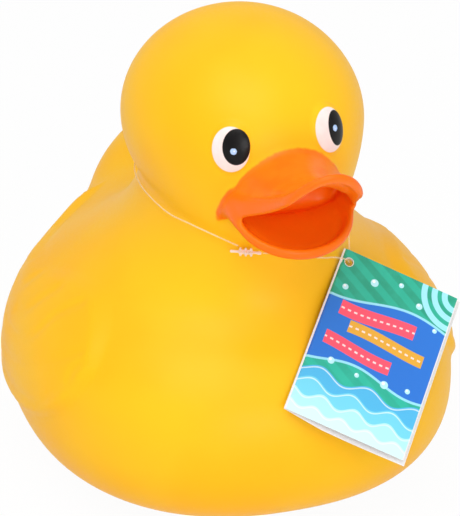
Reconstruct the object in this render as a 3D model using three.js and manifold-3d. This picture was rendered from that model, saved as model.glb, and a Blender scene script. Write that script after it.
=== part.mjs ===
// A large hollow vinyl bath duck. A squeaker is pressed into a hole in its flat base, and a
// folded card tag hangs from a plastic loop fastener that goes round its neck.
// Millimetres, +Z up. The duck faces -Y and stands on Z = 0 with the origin under its middle.

import * as THREE from 'three';
import { mergeVertices } from 'three/addons/utils/BufferGeometryUtils.js';
import Module from 'manifold-3d';

const wasm = await Module();
wasm.setup();

// Driving dimensions of the moulding

const wall = 2.6;

// Each egg has a centre, a half width, and its own reach to the front, back, top and bottom.
const body = { y: 4, z: 42.5, wide: 98, front: 115.5, back: 80, up: 66.5, down: 55.5, power: 2.3 };
const back = { y: 34.5, z: 55.5, wide: 63.5, front: 50, back: 65, up: 29, down: 29, power: 2 };
const head = { y: -22.8, z: 165.3, wide: 50.3, front: 62, back: 53, up: 44.5, down: 47.5, power: 2 };

// Round cones run from a root to an end, each with its own radius.
const tail = { rootY: 54, rootZ: 51.5, rootRadius: 35, endY: 106.5, endZ: 84, endRadius: 26.5, flat: 0.8 };
const tailTip = { rootY: 100, rootZ: 84, rootRadius: 20, endY: 122, endZ: 97, endRadius: 11.5, flat: 0.8 };
const neck = { rootY: -8, rootZ: 80, rootRadius: 58, endY: -22.5, endZ: 130, endRadius: 42.5, flat: 1 };
const throat = { rootY: -36, rootZ: 100, rootRadius: 26, endY: -52, endZ: 134, endRadius: 24, flat: 1 };

// Widths over which two volumes run into each other
const backBlend = 30;
const tailBlend = 57;
const tipBlend = 18;
const neckBlend = 26;
const headBlend = 3;
const throatBlend = 30;
const baseBlend = 24;

// The rounded underside reaches this far below Z = 0 and is cut flat there.
const baseCut = 3.5;

// Wings: a raised patch on each flank, outlined here in side view as Y, Z
const wingRise = 2.6;
const wingEdge = 8;
const wingInside = 24;
const wingOutline = [
  [-64.5, 70], [-60, 82], [-50, 91], [-35, 97.5], [-15, 97], [10, 91], [40, 86], [64, 88],
  [84, 98], [82, 80], [68, 60], [44, 42], [14, 33], [-24, 36], [-54, 50],
];

// Bill: two bent lips that start inside the face, with a shallow mouth behind them.
// Lengths along the bill are measured forward from the plane of its root.
const billRoot = { y: -84, inFace: 18 };
const lipThickness = 3.6;
const upperLip = { halfWidth: 30.7, rootFlare: 0.17, sides: 38, noseHalfWidth: 15.9, nose: 13.8 };
const upperRise = { low: 165.3, lowAt: 19, curl: 0.0115, flatten: 0.00008 };
const upperArch = { sides: 0.0285, middle: 0.0078, length: 42 };
const lowerLip = { halfWidth: 24, sides: 6, nose: 22, rimZ: 147, droop: 0.4, cup: 8, power: 2.2 };
const mouth = { z: 148.5, wide: 21, front: 20, back: 9, high: 12 };

// Eyes: raised ovals, placed from the middle of the head
const eye = { halfWidth: 8.2, halfHeight: 9.8, thick: 4.2, proud: 1.9 };
const eyeCentres = [{ x: -21.8, z: 4.6 }, { x: 18.9, z: 8.6 }];

// Driving dimensions of the squeaker, which is pressed up into the base

const fitClearance = 0.3;
const flange = { diameter: 30, thickness: 1.6, recess: 0.8 };
const barrel = { diameter: 22, length: 13, wall: 1.6 };
const snapRing = { proud: 0.8, height: 2 };
const seat = { wall: 4, height: 7 };
const soundHole = 5;
const reed = { thickness: 3, shelf: 1.4, slot: 1.4, slotLength: 9, depth: 3.6 };

// Driving dimensions of the tag and its fastener

const card = { width: 53.3, height: 76.5, thickness: 0.4, openAngle: 0.03 };
const cardLean = -44.1;
const cardTurn = 1.9;
const cardRoll = 34.3;
const cardHole = { diameter: 3.6, fromFold: 4.55, fromTop: 5.25 };
// The card hangs by its hole, which is this far behind the breast's foremost point.
const cardHang = { x: 32.63, behindBreast: 41.88, z: 110.58 };

const loopDiameter = 0.7;
const loopSides = 8;
const loopSteps = 80;
const lock = { length: 12.8, tailRadius: 0.6, starRadius: 1.9, starLength: 5.4, ribs: 3, groove: 0.8 };
const lockCentre = new THREE.Vector3(-15.3, -77.9, 125);
const lockTurn = -26.7;

// Route of the loop: from the lock round the duck's right side, behind the neck, back along its
// left side, through the card from behind, over the card's edge and under the bill to the lock
const loopPoints = [
  [-18.1, -76.6, 127.5], [-25.6, -72.4, 130.9], [-31.6, -67.4, 133.2], [-35.7, -60.6, 134],
  [-38.8, -53.2, 134], [-41, -45.7, 134.5], [-43.2, -37.7, 136], [-44.4, -29.8, 137],
  [-44.7, -22, 138], [-43.3, -10.4, 139], [-39.2, 0.7, 139.5], [-32.3, 10.4, 139.8],
  [-23.1, 18.2, 140], [-12.1, 23.2, 140], [0, 25, 140], [12.1, 23.2, 140],
  [23.1, 18.2, 140], [32.3, 10.4, 139.8], [39.2, 0.7, 139.5], [43.3, -10.4, 139],
  [44.7, -22, 138], [44.4, -29.8, 137], [43.2, -37.7, 136], [41.2, -45.8, 134.5],
  [38.8, -53.2, 132.4], [36.6, -58.8, 128], [35.1, -61.8, 121.5], [34.7, -64, 114.5],
  [34, -65.7, 110.7], [33.2, -67.4, 109.2], [32.63, -69.3, 110.3], [31.2, -70.6, 112.3],
  [25.4, -71.5, 114.5], [19.5, -75.1, 116.6], [11, -78.8, 119.9], [2.5, -80.9, 122.7],
  [-4.4, -81.7, 124.5], [-9.25, -80.95, 125],
];

// The skin is meshed in facets of about these sizes, finer up and down at the neck.
const skinStep = 10;
const neckStep = 6;
const neckBand = { low: 108, high: 148 };
const cavityStep = 15;

// Fields: negative inside a volume, positive outside, and about a distance in between

function blend(a, b, width) {
  const overlap = Math.max(width - Math.abs(a - b), 0) / width;
  return Math.min(a, b) - (overlap * overlap * width) / 4;
}

function carve(a, b, width) {
  return -blend(-a, -b, width);
}

function eggField(egg, x, y, z) {
  const reachY = y < egg.y ? egg.front : egg.back;
  const reachZ = z > egg.z ? egg.up : egg.down;
  const px = Math.abs(x) / egg.wide;
  const py = Math.abs(y - egg.y) / reachY;
  const pz = Math.abs(z - egg.z) / reachZ;
  const n = egg.power;
  const size = Math.pow(px ** n + py ** n + pz ** n + 1e-12, 1 / n);
  const slope = Math.hypot(px ** (n - 1) / egg.wide, py ** (n - 1) / reachY, pz ** (n - 1) / reachZ);
  return (size - 1) / (size ** (1 - n) * slope + 1e-9);
}

function coneField(cone, x, y, z) {
  const length = Math.hypot(cone.endY - cone.rootY, cone.endZ - cone.rootZ);
  const cos = (cone.endY - cone.rootY) / length;
  const sin = (cone.endZ - cone.rootZ) / length;
  const along = (y - cone.rootY) * cos + (z - cone.rootZ) * sin;
  const across = ((z - cone.rootZ) * cos - (y - cone.rootY) * sin) / cone.flat;
  const radial = Math.hypot(x, across);
  const taper = (cone.rootRadius - cone.endRadius) / length;
  const foot = along - (radial * taper) / Math.sqrt(1 - taper * taper);
  const t = THREE.MathUtils.clamp(foot, 0, length);
  const radius = cone.rootRadius - taper * t;
  return (Math.hypot(radial, along - t) - radius) * (0.5 + 0.5 * cone.flat);
}

const wingCurve = new THREE.SplineCurve([...wingOutline, wingOutline[0]].map(([y, z]) => new THREE.Vector2(y, z)));
const wingCorners = wingCurve.getPoints(45).slice(0, -1);

// Signed distance in side view to the outline of the wing
function wingDistance(y, z) {
  let nearest = Infinity;
  let inside = false;
  wingCorners.forEach((a, i) => {
    const b = wingCorners[(i + 1) % wingCorners.length];
    const edgeY = b.x - a.x;
    const edgeZ = b.y - a.y;
    const share = ((y - a.x) * edgeY + (z - a.y) * edgeZ) / (edgeY * edgeY + edgeZ * edgeZ + 1e-9);
    const t = THREE.MathUtils.clamp(share, 0, 1);
    nearest = Math.min(nearest, Math.hypot(y - a.x - edgeY * t, z - a.y - edgeZ * t));
    const spans = a.y > z !== b.y > z;
    if (spans && y < a.x + (edgeY * (z - a.y)) / edgeZ) inside = !inside;
  });
  return inside ? -nearest : nearest;
}

function wingHeight(x, y, z) {
  const side = THREE.MathUtils.smoothstep(Math.abs(x), wingInside, wingInside + wingEdge);
  if (side === 0) return 0;
  return wingRise * side * THREE.MathUtils.smoothstep(-wingDistance(y, z), 0, wingEdge);
}

function duckField(x, y, z) {
  let value = blend(eggField(body, x, y, z), eggField(back, x, y, z), backBlend);
  value = blend(value, coneField(tail, x, y, z), tailBlend);
  value = blend(value, coneField(tailTip, x, y, z), tipBlend);
  value = blend(value, coneField(neck, x, y, z), neckBlend);
  value = carve(value, -z - baseCut, baseBlend);
  value = blend(value, eggField(head, x, y, z), headBlend);
  value = blend(value, coneField(throat, x, y, z), throatBlend);
  return value - wingHeight(x, y, z);
}

// Meshing of a field

function gradient(field, p) {
  const e = 0.5;
  return new THREE.Vector3(
    field(p.x + e, p.y, p.z) - field(p.x - e, p.y, p.z),
    field(p.x, p.y + e, p.z) - field(p.x, p.y - e, p.z),
    field(p.x, p.y, p.z + e) - field(p.x, p.y, p.z - e),
  ).divideScalar(2 * e);
}

function settleOnSkin(field, p) {
  for (let pass = 0; pass < 4; pass++) {
    const slope = gradient(field, p);
    p.addScaledVector(slope, -field(p.x, p.y, p.z) / Math.max(slope.lengthSq(), 0.1));
  }
  return p;
}

// Grid lines from one value to another, with the step of each band that they cross
function gridLines(bands) {
  const lines = [bands[0].from];
  bands.forEach(({ from, to, step }) => {
    const count = Math.max(1, Math.round((to - from) / step));
    for (let i = 1; i <= count; i++) lines.push(from + ((to - from) * i) / count);
  });
  return lines;
}

// One vertex in each grid cell that the skin passes through, and one quad across each grid edge
// that it cuts
function skinGeometry(field, xs, ys, zs) {
  const sizes = [xs.length, ys.length, zs.length];
  const index = (i, j, k) => (k * sizes[1] + j) * sizes[0] + i;
  const values = new Float64Array(sizes[0] * sizes[1] * sizes[2]);
  zs.forEach((z, k) => ys.forEach((y, j) => xs.forEach((x, i) => {
    values[index(i, j, k)] = field(x, y, z);
  })));

  const cellEdges = [];
  for (let corner = 0; corner < 8; corner++) {
    for (const bit of [1, 2, 4]) if (!(corner & bit)) cellEdges.push([corner, corner | bit]);
  }
  const bits = (corner) => [corner & 1, (corner >> 1) & 1, (corner >> 2) & 1];

  const positions = [];
  const cellVertex = new Map();
  for (let k = 0; k < sizes[2] - 1; k++) {
    for (let j = 0; j < sizes[1] - 1; j++) {
      for (let i = 0; i < sizes[0] - 1; i++) {
        const middle = new THREE.Vector3();
        let crossings = 0;
        for (const [a, b] of cellEdges) {
          const [ai, aj, ak] = bits(a);
          const [bi, bj, bk] = bits(b);
          const va = values[index(i + ai, j + aj, k + ak)];
          const vb = values[index(i + bi, j + bj, k + bk)];
          if (va < 0 === vb < 0) continue;
          const start = new THREE.Vector3(xs[i + ai], ys[j + aj], zs[k + ak]);
          const end = new THREE.Vector3(xs[i + bi], ys[j + bj], zs[k + bk]);
          middle.add(start.lerp(end, va / (va - vb)));
          crossings++;
        }
        if (crossings === 0) continue;
        settleOnSkin(field, middle.divideScalar(crossings));
        cellVertex.set(index(i, j, k), positions.length / 3);
        positions.push(middle.x, middle.y, middle.z);
      }
    }
  }

  const faces = [];
  const squareOf = (a, b, c, d) => {
    const corner = (v) => new THREE.Vector3().fromArray(positions, 3 * v);
    const acrossAC = corner(a).distanceTo(corner(c)) <= corner(b).distanceTo(corner(d));
    faces.push(...(acrossAC ? [a, b, c, a, c, d] : [a, b, d, b, c, d]));
  };
  const steps = [[1, 0, 0], [0, 1, 0], [0, 0, 1]];
  for (let k = 1; k < sizes[2] - 1; k++) {
    for (let j = 1; j < sizes[1] - 1; j++) {
      for (let i = 1; i < sizes[0] - 1; i++) {
        steps.forEach((step, axis) => {
          const here = values[index(i, j, k)] < 0;
          const next = values[index(i + step[0], j + step[1], k + step[2])] < 0;
          if (here === next) return;
          const u = steps[(axis + 1) % 3];
          const v = steps[(axis + 2) % 3];
          const cell = (du, dv) => cellVertex.get(
            index(i - u[0] * du - v[0] * dv, j - u[1] * du - v[1] * dv, k - u[2] * du - v[2] * dv),
          );
          const square = [cell(1, 1), cell(0, 1), cell(0, 0), cell(1, 0)];
          squareOf(...(here ? square : square.reverse()));
        });
      }
    }
  }
  const geometry = new THREE.BufferGeometry();
  geometry.setAttribute('position', new THREE.Float32BufferAttribute(positions, 3));
  geometry.setIndex(faces);
  return geometry;
}

// Solids: three.js geometry in, joined or cut, three.js geometry out

function solidOf(geometry) {
  const bare = geometry.clone();
  bare.deleteAttribute('normal');
  bare.deleteAttribute('uv');
  const merged = mergeVertices(bare, 1e-4);
  const faces = [];
  for (let t = 0; t < merged.index.count; t += 3) {
    const [a, b, c] = [0, 1, 2].map((n) => merged.index.getX(t + n));
    if (a !== b && b !== c && c !== a) faces.push(a, b, c);
  }
  return new wasm.Manifold(new wasm.Mesh({
    numProp: 3,
    vertProperties: new Float32Array(merged.attributes.position.array),
    triVerts: new Uint32Array(faces),
  }));
}

function geometryOf(solid) {
  const mesh = solid.getMesh();
  const geometry = new THREE.BufferGeometry();
  geometry.setAttribute('position', new THREE.Float32BufferAttribute(mesh.vertProperties, 3));
  geometry.setIndex(new THREE.Uint32BufferAttribute(mesh.triVerts, 1));
  geometry.computeVertexNormals();
  return geometry;
}

// A round post standing on a given height at the middle of the base
function post(diameter, from, to, sides = 40) {
  const geometry = new THREE.CylinderGeometry(diameter / 2, diameter / 2, to - from, sides);
  return solidOf(geometry.rotateX(Math.PI / 2).translate(0, 0, (from + to) / 2));
}

function block(from, to) {
  const size = new THREE.Vector3().subVectors(to, from);
  const centre = new THREE.Vector3().addVectors(to, from).divideScalar(2);
  return solidOf(new THREE.BoxGeometry(size.x, size.y, size.z).translate(centre.x, centre.y, centre.z));
}

function eggSolid(centre, radii, sides = 24, rings = 14) {
  const geometry = new THREE.SphereGeometry(1, sides, rings);
  return solidOf(geometry.scale(radii.x, radii.y, radii.z).translate(centre.x, centre.y, centre.z));
}

// Bill

// A lip is two sheets of points over its plan, which meet along its rounded edge, and a flat root.
// Each row holds its place along the bill and its half width; surface gives the middle height.
function lipSolid(rows, surface, insideBy, columns) {
  const half = lipThickness / 2;
  const positions = [];
  const vertex = (row, column, side) => (row * (columns + 1) + column) * 2 + side;
  rows.forEach(({ forward, halfWidth }) => {
    for (let column = 0; column <= columns; column++) {
      const x = halfWidth * Math.sin((column / columns - 0.5) * Math.PI);
      const z = surface(x, forward);
      const depth = THREE.MathUtils.clamp(1 - insideBy(x, forward) / half, 0, 1);
      const thick = half * Math.sqrt(Math.max(1 - depth * depth, 0));
      positions.push(x, billRoot.y - forward, z - thick, x, billRoot.y - forward, z + thick);
    }
  });
  const faces = [];
  for (let row = 0; row < rows.length - 1; row++) {
    for (let column = 0; column < columns; column++) {
      const corners = (side) => [
        vertex(row, column, side), vertex(row, column + 1, side),
        vertex(row + 1, column + 1, side), vertex(row + 1, column, side),
      ];
      const [a, b, c, d] = corners(0);
      faces.push(a, b, c, a, c, d);
      const [e, f, g, h] = corners(1);
      faces.push(e, g, f, e, h, g);
    }
  }
  for (let column = 0; column < columns; column++) {
    const [a, b] = [vertex(0, column, 0), vertex(0, column + 1, 0)];
    const [c, d] = [vertex(0, column, 1), vertex(0, column + 1, 1)];
    faces.push(a, c, b, b, c, d);
  }
  const geometry = new THREE.BufferGeometry();
  geometry.setAttribute('position', new THREE.Float32BufferAttribute(positions, 3));
  geometry.setIndex(faces);
  return solidOf(geometry);
}

// Rows of a lip: straight sides from inside the face, then a half oval nose
function lipRows(halfWidthAt, sides, nose, sideRows, noseRows) {
  const rows = [];
  for (let i = 0; i < sideRows; i++) {
    const forward = THREE.MathUtils.lerp(-billRoot.inFace, sides, i / sideRows);
    rows.push({ forward, halfWidth: halfWidthAt(forward) });
  }
  for (let i = 0; i <= noseRows; i++) {
    const angle = (i / noseRows) * (Math.PI / 2);
    const halfWidth = i === noseRows ? 0 : halfWidthAt(sides) * Math.cos(angle);
    rows.push({ forward: sides + nose * Math.sin(angle), halfWidth });
  }
  return rows;
}

// Distance in from the edge of a lip's plan
function planInset(halfWidthAt, sides, nose) {
  return (x, forward) => {
    if (forward < sides) return halfWidthAt(forward) - Math.abs(x);
    const reach = Math.hypot(x / halfWidthAt(sides), (forward - sides) / nose);
    return (1 - reach) * Math.min(nose, halfWidthAt(sides));
  };
}

function upperHalfWidth(forward) {
  if (forward < 0) return upperLip.halfWidth + upperLip.rootFlare * forward;
  const share = forward / upperLip.sides;
  const narrowing = upperLip.halfWidth - upperLip.noseHalfWidth;
  return upperLip.halfWidth - narrowing * (1.41 * share - 0.41 * share * share);
}

function upperSurface(x, forward) {
  const fromLow = forward - upperRise.lowAt;
  const ridge = upperRise.low + upperRise.curl * fromLow ** 2 - upperRise.flatten * fromLow ** 3;
  const along = THREE.MathUtils.clamp(forward / upperArch.length, 0, 1);
  const arch = upperArch.sides + upperArch.middle * Math.sin(Math.PI * along);
  return ridge - arch * x * x;
}

const lowerHalfWidth = () => lowerLip.halfWidth;

function lowerSurface(x, forward) {
  const rim = lowerLip.rimZ - lowerLip.droop * Math.max(forward, 0);
  const reach = Math.hypot(x / lowerLip.halfWidth, Math.max(forward - lowerLip.sides, 0) / lowerLip.nose);
  return rim - lowerLip.cup * (1 - Math.min(reach, 1) ** lowerLip.power) - lipThickness / 2;
}

function upperLipSolid() {
  const rows = lipRows(upperHalfWidth, upperLip.sides, upperLip.nose, 8, 7);
  return lipSolid(rows, upperSurface, planInset(upperHalfWidth, upperLip.sides, upperLip.nose), 16);
}

function lowerLipSolid() {
  const rows = lipRows(lowerHalfWidth, lowerLip.sides, lowerLip.nose, 3, 7);
  return lipSolid(rows, lowerSurface, planInset(lowerHalfWidth, lowerLip.sides, lowerLip.nose), 14);
}

// Where the head's own egg lies at a place on its front
function headFront(x, z) {
  const reachZ = z > 0 ? head.up : head.down;
  return head.y - head.front * Math.sqrt(1 - (x / head.wide) ** 2 - (z / reachZ) ** 2);
}

// The mouth is an egg sunk in the face between the lips.
function mouthSolid(grow) {
  const y = headFront(0, mouth.z - head.z);
  const radii = new THREE.Vector3(mouth.wide + grow, (mouth.front + mouth.back) / 2 + grow, mouth.high + grow);
  const centre = new THREE.Vector3(0, y + (mouth.back - mouth.front) / 2, mouth.z);
  return eggSolid(centre, radii);
}

// Eyes

function eyeSolid({ x, z }) {
  const place = new THREE.Vector3(x, headFront(x, z), head.z + z);
  const outward = gradient((px, py, pz) => eggField(head, px, py, pz), place).normalize();
  const across = new THREE.Vector3(0, 0, 1).cross(outward).normalize();
  const up = new THREE.Vector3().crossVectors(outward, across);
  const sunk = eye.thick - eye.proud;
  const shown = Math.sqrt(1 - (sunk / eye.thick) ** 2);
  const geometry = new THREE.SphereGeometry(1, 22, 14);
  geometry.scale(eye.halfWidth / shown, eye.halfHeight / shown, eye.thick);
  geometry.applyMatrix4(new THREE.Matrix4().makeBasis(across, up, outward));
  place.addScaledVector(outward, -sunk);
  return solidOf(geometry.translate(place.x, place.y, place.z));
}

// Duck

const flangePocket = flange.diameter + 2 * fitClearance;
const flangeTop = flange.recess + flange.thickness;
const pocketTop = flangeTop + fitClearance;
const barrelHole = barrel.diameter + 2 * fitClearance;

function duckLines(step, neckSize) {
  const wide = Math.ceil((body.wide + wingRise) / step + 1) * step;
  const front = body.y - body.front - 2 * step;
  const rear = tailTip.endY + tailTip.endRadius + 2 * step;
  const top = head.z + head.up + 1.5 * step;
  return [
    gridLines([{ from: -wide, to: wide, step }]),
    gridLines([{ from: front, to: rear, step }]),
    gridLines([
      { from: -baseCut - 1.5 * step, to: neckBand.low, step },
      { from: neckBand.low, to: neckBand.high, step: neckSize },
      { from: neckBand.high, to: top, step },
    ]),
  ];
}

function duckShell() {
  const far = 300;
  const belowGround = block(new THREE.Vector3(-far, -far, -far), new THREE.Vector3(far, far, 0));
  const belowFloor = block(new THREE.Vector3(-far, -far, -far), new THREE.Vector3(far, far, wall));

  let outside = solidOf(skinGeometry(duckField, ...duckLines(skinStep, neckStep)));
  outside = outside.subtract(mouthSolid(0)).add(upperLipSolid()).add(lowerLipSolid());
  for (const centre of eyeCentres) outside = outside.add(eyeSolid(centre));
  outside = outside.subtract(belowGround);

  const innerField = (x, y, z) => duckField(x, y, z) + wall;
  let inside = solidOf(skinGeometry(innerField, ...duckLines(cavityStep, neckStep)));
  inside = inside.subtract(mouthSolid(wall)).subtract(belowFloor);
  inside = inside.subtract(post(flangePocket + 2 * seat.wall, 0, seat.height));

  const pocket = post(flangePocket, -1, pocketTop);
  const hole = post(barrelHole, pocketTop - 1, seat.height + 1);
  return geometryOf(outside.subtract(inside).subtract(pocket).subtract(hole));
}

// Squeaker

const reedRadius = barrel.diameter / 2 - barrel.wall - fitClearance;
const barrelTop = flangeTop + barrel.length;
const shelfTop = barrelTop - reed.depth;
const ringFoot = seat.height + fitClearance;

function squeakerHousing() {
  const outer = barrel.diameter / 2;
  const inner = outer - barrel.wall;
  const profile = [
    [soundHole / 2, flange.recess],
    [flange.diameter / 2, flange.recess],
    [flange.diameter / 2, flangeTop],
    [outer, flangeTop],
    [outer, ringFoot],
    [outer + snapRing.proud, ringFoot],
    [outer, ringFoot + snapRing.height],
    [outer, barrelTop],
    [inner, barrelTop],
    [inner, shelfTop],
    [inner - reed.shelf, shelfTop],
    [inner - reed.shelf, flangeTop],
    [soundHole / 2, flangeTop],
  ];
  return latheSolid(profile, 36);
}

// A closed profile of radius and height turned about the vertical
function latheSolid(profile, sides) {
  const points = [...profile, profile[0]].map(([radius, height]) => new THREE.Vector2(radius, height));
  return geometryOf(solidOf(new THREE.LatheGeometry(points, sides).rotateX(Math.PI / 2)));
}

function squeakerReed() {
  const disc = new THREE.Shape().absarc(0, 0, reedRadius, 0, 2 * Math.PI);
  const slot = new THREE.Path();
  slot.moveTo(-reed.slotLength / 2, -reed.slot / 2);
  slot.lineTo(-reed.slotLength / 2, reed.slot / 2);
  slot.lineTo(reed.slotLength / 2, reed.slot / 2);
  slot.lineTo(reed.slotLength / 2, -reed.slot / 2);
  slot.closePath();
  disc.holes.push(slot);
  const geometry = new THREE.ExtrudeGeometry(disc, {
    depth: reed.thickness, bevelEnabled: false, curveSegments: 18,
  });
  return geometry.translate(0, 0, shelfTop + fitClearance);
}

// Tag

const holeInCard = new THREE.Vector3(
  cardHole.fromFold - card.width / 2, 0, card.height / 2 - cardHole.fromTop,
);
const cardPlacement = new THREE.Matrix4().compose(
  new THREE.Vector3(cardHang.x, body.y - body.front + cardHang.behindBreast, cardHang.z),
  new THREE.Quaternion().setFromEuler(new THREE.Euler(
    THREE.MathUtils.degToRad(cardLean), THREE.MathUtils.degToRad(cardRoll),
    THREE.MathUtils.degToRad(cardTurn), 'ZXY',
  )),
  new THREE.Vector3(1, 1, 1),
).multiply(new THREE.Matrix4().setPosition(holeInCard.clone().negate()));

// The card stands upright in its own frame, its front facing -Y, and is folded at its -X edge.
function hangTag() {
  const { width, height, thickness, openAngle } = card;
  const leaf = width - thickness;
  const along = { x: Math.cos(openAngle) * leaf, y: Math.sin(openAngle) * leaf };
  const outward = { x: -Math.sin(openAngle) * thickness, y: Math.cos(openAngle) * thickness };
  const crease = { x: -width / 2 + thickness, y: thickness };
  const section = new THREE.Shape([
    new THREE.Vector2(-width / 2, 0),
    new THREE.Vector2(width / 2, 0),
    new THREE.Vector2(width / 2, thickness),
    new THREE.Vector2(crease.x, crease.y),
    new THREE.Vector2(crease.x + along.x, crease.y + along.y),
    new THREE.Vector2(crease.x + along.x + outward.x, crease.y + along.y + outward.y),
    new THREE.Vector2(-width / 2, 2 * thickness),
  ]);
  const folded = new THREE.ExtrudeGeometry(section, { depth: height, bevelEnabled: false });
  const punch = new THREE.CylinderGeometry(cardHole.diameter / 2, cardHole.diameter / 2, 20, 20);
  punch.translate(holeInCard.x, 0, holeInCard.z);
  const cut = solidOf(folded.translate(0, 0, -height / 2)).subtract(solidOf(punch));
  return geometryOf(cut).applyMatrix4(cardPlacement);
}

// Fastener

function tagLoop() {
  const corners = [];
  for (let i = 0; i < loopSides; i++) {
    const angle = (2 * Math.PI * i) / loopSides;
    corners.push(new THREE.Vector2(Math.cos(angle), Math.sin(angle)).multiplyScalar(loopDiameter / 2));
  }
  const route = new THREE.CatmullRomCurve3(loopPoints.map((point) => new THREE.Vector3(...point)));
  return new THREE.ExtrudeGeometry(new THREE.Shape(corners), { steps: loopSteps, extrudePath: route });
}

// A ribbed star between two thin tails
function tagLoopLock() {
  const profile = [[0, -lock.length / 2], [lock.tailRadius, -lock.length / 2]];
  profile.push([lock.tailRadius, -lock.starLength / 2]);
  const ribPitch = lock.starLength / (2 * lock.ribs - 1);
  for (let rib = 0; rib < lock.ribs; rib++) {
    const foot = -lock.starLength / 2 + 2 * rib * ribPitch;
    profile.push([lock.starRadius, foot], [lock.starRadius, foot + ribPitch]);
    if (rib === lock.ribs - 1) continue;
    profile.push([lock.starRadius - lock.groove, foot + ribPitch]);
    profile.push([lock.starRadius - lock.groove, foot + 2 * ribPitch]);
  }
  profile.push([lock.tailRadius, lock.starLength / 2], [lock.tailRadius, lock.length / 2]);
  profile.push([0, lock.length / 2]);
  const points = profile.map(([radius, height]) => new THREE.Vector2(radius, height));
  const geometry = new THREE.LatheGeometry(points, 12).rotateZ(-Math.PI / 2);
  geometry.rotateZ(THREE.MathUtils.degToRad(lockTurn));
  return geometry.translate(lockCentre.x, lockCentre.y, lockCentre.z);
}

// Assembly

const materials = {
  vinyl: new THREE.MeshStandardMaterial({ name: 'yellow_vinyl', color: 0xffc823, roughness: 0.45, metalness: 0 }),
  whitePlastic: new THREE.MeshStandardMaterial({ name: 'white_plastic', color: 0xf0efe8, roughness: 0.4 }),
  reedPlastic: new THREE.MeshStandardMaterial({ name: 'reed_plastic', color: 0xd9dde0, roughness: 0.35 }),
  card: new THREE.MeshStandardMaterial({ name: 'coated_card', color: 0x3fb79b, roughness: 0.5 }),
  filament: new THREE.MeshStandardMaterial({ name: 'clear_nylon', color: 0xf3e3cf, roughness: 0.3 }),
};

function part(name, geometry, material) {
  const mesh = new THREE.Mesh(geometry, material);
  mesh.name = name;
  return mesh;
}

const duck = new THREE.Group();
duck.add(part('duck_shell', duckShell(), materials.vinyl));
duck.add(part('squeaker_housing', squeakerHousing(), materials.whitePlastic));
duck.add(part('squeaker_reed', squeakerReed(), materials.reedPlastic));
duck.add(part('hang_tag', hangTag(), materials.card));
duck.add(part('tag_loop', tagLoop(), materials.filament));
duck.add(part('tag_loop_lock', tagLoopLock(), materials.filament.clone()));

export default duck;
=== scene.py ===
# Looks of a large vinyl bath duck with its card hang tag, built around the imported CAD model.
# The duck faces -Y. Shapes are worked out in millimetres in the CAD frame and made in metres.

import math

import bpy
import numpy as np
from mathutils import Matrix, Vector
from mathutils.geometry import delaunay_2d_cdt


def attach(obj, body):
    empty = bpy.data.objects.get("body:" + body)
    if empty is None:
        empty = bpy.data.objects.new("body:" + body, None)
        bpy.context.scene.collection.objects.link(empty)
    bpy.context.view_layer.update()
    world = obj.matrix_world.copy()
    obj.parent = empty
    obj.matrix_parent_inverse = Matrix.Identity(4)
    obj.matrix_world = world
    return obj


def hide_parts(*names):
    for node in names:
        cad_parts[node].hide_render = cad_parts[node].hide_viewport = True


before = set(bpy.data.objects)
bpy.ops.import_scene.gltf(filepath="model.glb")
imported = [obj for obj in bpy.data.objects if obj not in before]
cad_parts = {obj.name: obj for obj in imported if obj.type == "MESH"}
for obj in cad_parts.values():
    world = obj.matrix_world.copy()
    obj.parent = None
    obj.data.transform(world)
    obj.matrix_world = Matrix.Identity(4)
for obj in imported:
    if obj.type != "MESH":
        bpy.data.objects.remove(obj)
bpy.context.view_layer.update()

MM = 0.001

# Camera: the photograph's viewing angle, from its own measures

IMAGE_HEIGHT = 516
FOCAL_PIXELS = 1895
SENSOR = 36.0
CAMERA_AZIMUTH = -17.5
CAMERA_ELEVATION = 24.0
CAMERA_DISTANCE = 850.0
CAMERA_TARGET = (2.6, 0.0, 86.9)

# The moulding, with the CAD model's sizes

BODY = dict(y=4, z=42.5, wide=98, front=115.5, back=80, up=66.5, down=55.5, power=2.3)
BACK = dict(y=34.5, z=55.5, wide=63.5, front=50, back=65, up=29, down=29, power=2)
HEAD = dict(y=-22.8, z=165.3, wide=50.3, front=62, back=53, up=44.5, down=47.5, power=2)
TAIL = dict(root=(54, 51.5), root_radius=35, end=(106.5, 84), end_radius=26.5, flat=0.8)
TAIL_TIP = dict(root=(100, 84), root_radius=20, end=(122, 97), end_radius=11.5, flat=0.8)
NECK = dict(root=(-8, 80), root_radius=58, end=(-22.5, 130), end_radius=42.5, flat=1)
THROAT = dict(root=(-36, 100), root_radius=26, end=(-52, 134), end_radius=24, flat=1)
BACK_BLEND = 30
TAIL_BLEND = 57
TIP_BLEND = 18
NECK_BLEND = 26
HEAD_BLEND = 3
THROAT_BLEND = 30
BASE_BLEND = 24
BASE_CUT = 3.5

WING_RISE = 2.6
WING_EDGE = 5
WING_INSIDE = 24
FEATHER_DEPTH = 0.55
FEATHER_WIDTH = 1.9
WING_OUTLINE = [
    (-64.5, 70), (-60, 82), (-50, 91), (-35, 97.5), (-15, 97), (10, 91), (40, 86), (64, 88),
    (84, 98), (82, 80), (68, 60), (44, 42), (14, 33), (-24, 36), (-54, 50),
]

# Long feather edges run back along the wing, with a row of short scallops above them.
FEATHER_LINES = [
    [(-34, 91), (-27, 84), (-23, 75), (-14, 68), (12, 64), (40, 70), (64, 84)],
    [(-54, 78), (-46, 72), (-31, 63), (-17, 57), (14, 53), (44, 60), (72, 82)],
    [(-60, 66), (-50, 60), (-41, 50), (-20, 45), (12, 43), (44, 52), (70, 70)],
    [(-14, 90), (-10, 85), (-3, 76), (8, 72)],
    [(10, 87), (15, 80), (23, 76), (31, 76)],
    [(33, 84), (38, 79), (46, 78)],
    [(-62, 79), (-56, 72), (-58, 62)],
]

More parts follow.
